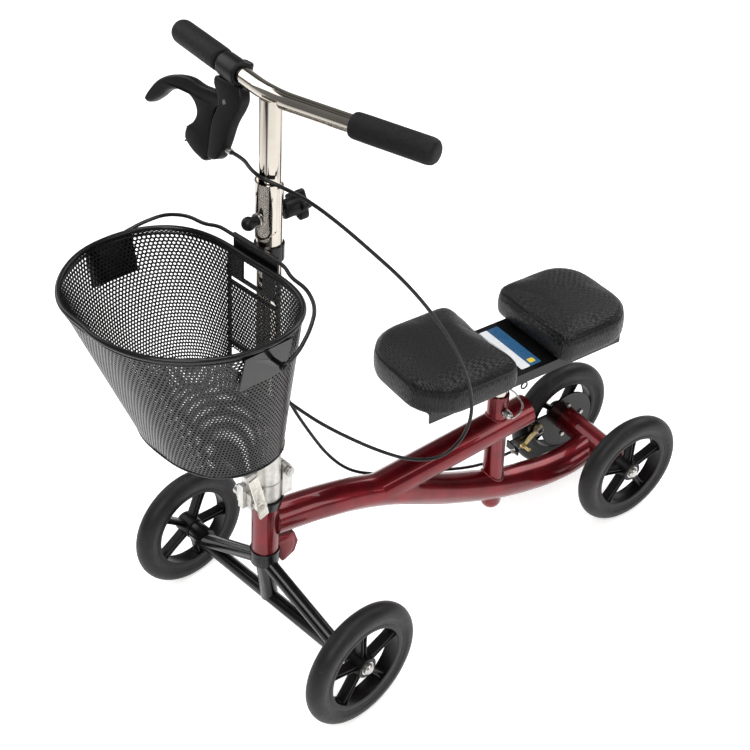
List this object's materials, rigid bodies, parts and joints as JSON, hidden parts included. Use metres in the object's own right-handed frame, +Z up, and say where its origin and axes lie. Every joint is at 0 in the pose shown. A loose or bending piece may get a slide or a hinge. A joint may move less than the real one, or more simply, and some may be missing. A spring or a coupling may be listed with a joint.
{
  "type": "knee scooter",
  "caption": "Folding knee scooter: two cushions on a low frame, steered front wheels, a height-adjustable handlebar, a rear brake and a basket.",
  "frame": {"origin": "on the floor, under the middle of the scooter's overall box", "axes": "-Y ahead, the way the scooter travels; +X the rider's left; +Z up"},
  "size_m": [0.4522, 0.988, 0.9162],
  "materials": {
    "red_paint": "gloss metallic",
    "black_paint": "gloss",
    "chrome_plate": "polished",
    "cast_alloy": "cast satin",
    "bright_steel": "zinc plated",
    "gold_plate": "passivated",
    "black_nylon": "semi-matte",
    "grip_foam": "fine texture",
    "tyre_rubber": "smooth",
    "black_vinyl": "embossed",
    "cable_casing": "smooth",
    "board": "raw"
  },
  "bodies": {
    "frame": {"main_frame": "red_paint", "upper_head_cup": "black_paint", "lower_head_cup": "black_paint", "rear_axle_bolts": "bright_steel", "brake_backing_plate": "black_paint", "brake_plate_screws": "bright_steel", "rear_barrel_adjuster": "bright_steel", "brake_cable_lower": "cable_casing"},
    "steering": {"front_axle": "black_paint", "head_bearings": "bright_steel", "front_axle_bolts": "bright_steel", "lower_hinge": "cast_alloy", "hinge_pin": "bright_steel", "clamp_skewer": "bright_steel"},
    "column": {"upper_hinge": "cast_alloy", "outer_column": "chrome_plate", "saddle_sleeve": "chrome_plate", "height_bolt": "bright_steel", "cap_nut": "black_nylon", "basket_bracket": "black_paint", "brake_cable_middle": "cable_casing"},
    "handlebar": {"handlebar": "chrome_plate", "left_grip": "grip_foam", "right_grip": "grip_foam", "brake_housing": "black_nylon", "lever_pivot_pin": "bright_steel", "front_barrel_adjuster": "bright_steel", "brake_cable_upper": "cable_casing"},
    "height_knob": {"height_knob": "black_nylon"},
    "brake_lever": {"brake_lever": "black_nylon"},
    "brake_arm": {"brake_arm": "gold_plate"},
    "quick_release_lever": {"quick_release_lever": "bright_steel"},
    "basket": {"basket_shell": "black_paint", "basket_rim": "black_paint", "basket_back_frame": "black_paint", "rim_plates": "black_paint"},
    "basket_bail": {"basket_bail": "black_paint"},
    "seat": {"seat_post": "chrome_plate", "seat_tray": "black_paint", "pad_boards": "board", "front_pad": "black_vinyl", "rear_pad": "black_vinyl", "pad_screws": "bright_steel"},
    "lock_pin": {"lock_pin": "bright_steel"},
    "lock_pin_bail": {"lock_pin_bail": "bright_steel"},
    "front_left_wheel": {"front_left_tyre": "tyre_rubber", "front_left_rim": "black_nylon", "front_left_bearings": "bright_steel"},
    "front_right_wheel": {"front_right_tyre": "tyre_rubber", "front_right_rim": "black_nylon", "front_right_bearings": "bright_steel"},
    "rear_left_wheel": {"rear_left_tyre": "tyre_rubber", "rear_left_rim": "black_nylon", "rear_left_bearings": "bright_steel"},
    "rear_right_wheel": {"rear_right_tyre": "tyre_rubber", "rear_right_rim": "black_nylon", "rear_right_bearings": "bright_steel", "brake_drum": "black_paint"}
  },
  "joints": [
    {"name": "steering_turn", "type": "hinge", "parent": "frame", "child": "steering", "pos_m": [0, -0.2621, 0], "axis": [0, 0.0623, 0.9981], "range_deg": [-40.4, 19.6], "deforming": ["brake_cable_lower"]},
    {"name": "column_fold", "type": "hinge", "parent": "steering", "child": "column", "pos_m": [-0.00398, -0.21906, 0.34198], "axis": [-0.9835, -0.1803, 0.0113], "range_deg": [0, 44], "deforming": ["brake_cable_middle"]},
    {"name": "handlebar_height", "type": "slide", "parent": "column", "child": "handlebar", "axis": [0, 0.0623, 0.9981], "range_m": [-0.06, 0.12], "deforming": ["brake_cable_upper"]},
    {"name": "height_knob_turn", "type": "hinge", "parent": "column", "child": "height_knob", "pos_m": [-0.00723, -0.17627, 0.74309], "axis": [-0.1807, 0.9816, -0.0613], "continuous": true},
    {"name": "brake_lever_pull", "type": "hinge", "parent": "handlebar", "child": "brake_lever", "pos_m": [-0.08615, -0.21607, 0.862], "axis": [-0.1911, 0.9344, -0.3008], "range_deg": [0, 10], "stiffness_Nm_per_rad": 3},
    {"name": "brake_arm_turn", "type": "hinge", "parent": "frame", "child": "brake_arm", "pos_m": [-0.062, 0.3246, 0.112], "axis": [-1, 0, 0], "range_deg": [0, 15]},
    {"name": "quick_release_turn", "type": "hinge", "parent": "steering", "child": "quick_release_lever", "pos_m": [0.0056, -0.27321, 0.3113], "axis": [0.9835, 0.1803, -0.0113], "range_deg": [0, 100]},
    {"name": "basket_lift", "type": "slide", "parent": "column", "child": "basket", "axis": [0, 0.0623, 0.9981], "range_m": [0, 0.012]},
    {"name": "basket_bail_swing", "type": "hinge", "parent": "basket", "child": "basket_bail", "pos_m": [0.02259, -0.34304, 0.67636], "axis": [0.9835, 0.1803, -0.0113], "range_deg": [0, 100]},
    {"name": "seat_height", "type": "slide", "parent": "frame", "child": "seat", "axis": [0, 0, 1], "range_m": [0, 0.1]},
    {"name": "lock_pin_pull", "type": "slide", "parent": "frame", "child": "lock_pin", "axis": [1, 0, 0], "range_m": [0, 0.05]},
    {"name": "lock_pin_bail_swing", "type": "hinge", "parent": "lock_pin", "child": "lock_pin_bail", "pos_m": [0, 0.1761, 0.27], "axis": [1, 0, 0], "range_deg": [0, 30]},
    {"name": "front_left_spin", "type": "hinge", "parent": "steering", "child": "front_left_wheel", "pos_m": [0.19086, -0.20813, 0.1], "axis": [0.9835, 0.1807, 0], "continuous": true},
    {"name": "front_right_spin", "type": "hinge", "parent": "steering", "child": "front_right_wheel", "pos_m": [-0.19538, -0.27908, 0.1], "axis": [0.9835, 0.1807, 0], "continuous": true},
    {"name": "rear_left_spin", "type": "hinge", "parent": "frame", "child": "rear_left_wheel", "pos_m": [0.0875, 0.394, 0.1], "axis": [1, 0, 0], "continuous": true},
    {"name": "rear_right_spin", "type": "hinge", "parent": "frame", "child": "rear_right_wheel", "pos_m": [-0.0875, 0.394, 0.1], "axis": [1, 0, 0], "continuous": true}
  ],
  "couplings": [
    {"joint": "brake_arm_turn", "follows": "brake_lever_pull", "ratio": 1.5}
  ]
}
